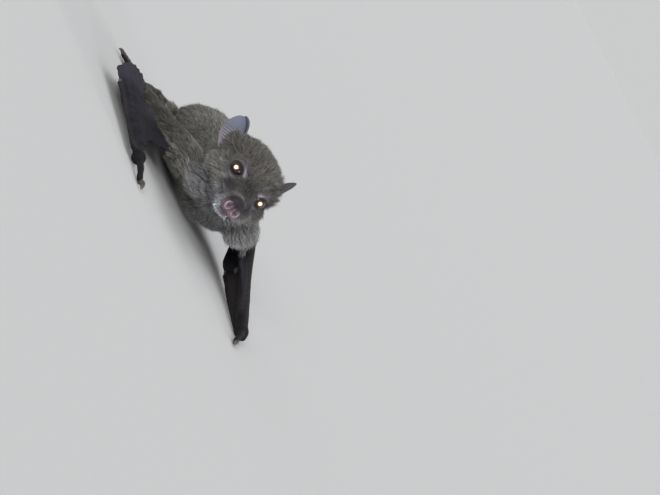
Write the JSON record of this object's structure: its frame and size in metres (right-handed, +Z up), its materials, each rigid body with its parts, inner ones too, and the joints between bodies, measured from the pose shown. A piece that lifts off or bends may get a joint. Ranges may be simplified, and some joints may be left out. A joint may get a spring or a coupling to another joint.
{
  "type": "rousette fruit bat",
  "caption": "Life-size still model of a small cave-roosting fruit bat, crouched on its belly with folded wings and its head raised and turned.",
  "frame": {"origin": "on the floor, under the middle of the bat's box", "axes": "+Z up, the bat faces -Y, its left side is +X"},
  "size_m": [0.1022, 0.159, 0.0469],
  "materials": {
    "fur": "matt",
    "skin": "satin",
    "membrane": "satin",
    "nose": "satin",
    "ear": "satin",
    "eye": "gloss",
    "claw": "satin"
  },
  "bodies": {
    "root": {"eye_left": "eye", "eye_right": "eye", "nose": "nose", "lower_jaw": "fur", "head": "fur", "ear_left": "ear", "ear_right": "ear", "neck": "fur", "chest": "fur", "abdomen": "fur", "tail": "skin", "wrist_left": "skin", "forearm_left": "skin", "thumb_left": "skin", "thumb_claw_left": "claw", "index_finger_left": "skin", "index_claw_left": "claw", "little_finger_left": "skin", "ring_finger_left": "skin", "middle_finger_left": "skin", "upper_arm_left": "fur", "wrist_right": "skin", "forearm_right": "skin", "thumb_right": "skin", "thumb_claw_right": "claw", "index_finger_right": "skin", "index_claw_right": "claw", "little_finger_right": "skin", "ring_finger_right": "skin", "middle_finger_right": "skin", "upper_arm_right": "fur", "foot_left": "skin", "shank_left": "skin", "thigh_left": "fur", "foot_right": "skin", "shank_right": "skin", "thigh_right": "fur", "hand_membrane_left": "membrane", "shoulder_membrane_left": "membrane", "flank_membrane_left": "membrane", "hand_membrane_right": "membrane", "shoulder_membrane_right": "membrane", "flank_membrane_right": "membrane", "tail_membrane_left": "membrane", "tail_membrane_right": "membrane"}
  },
  "joints": []
}
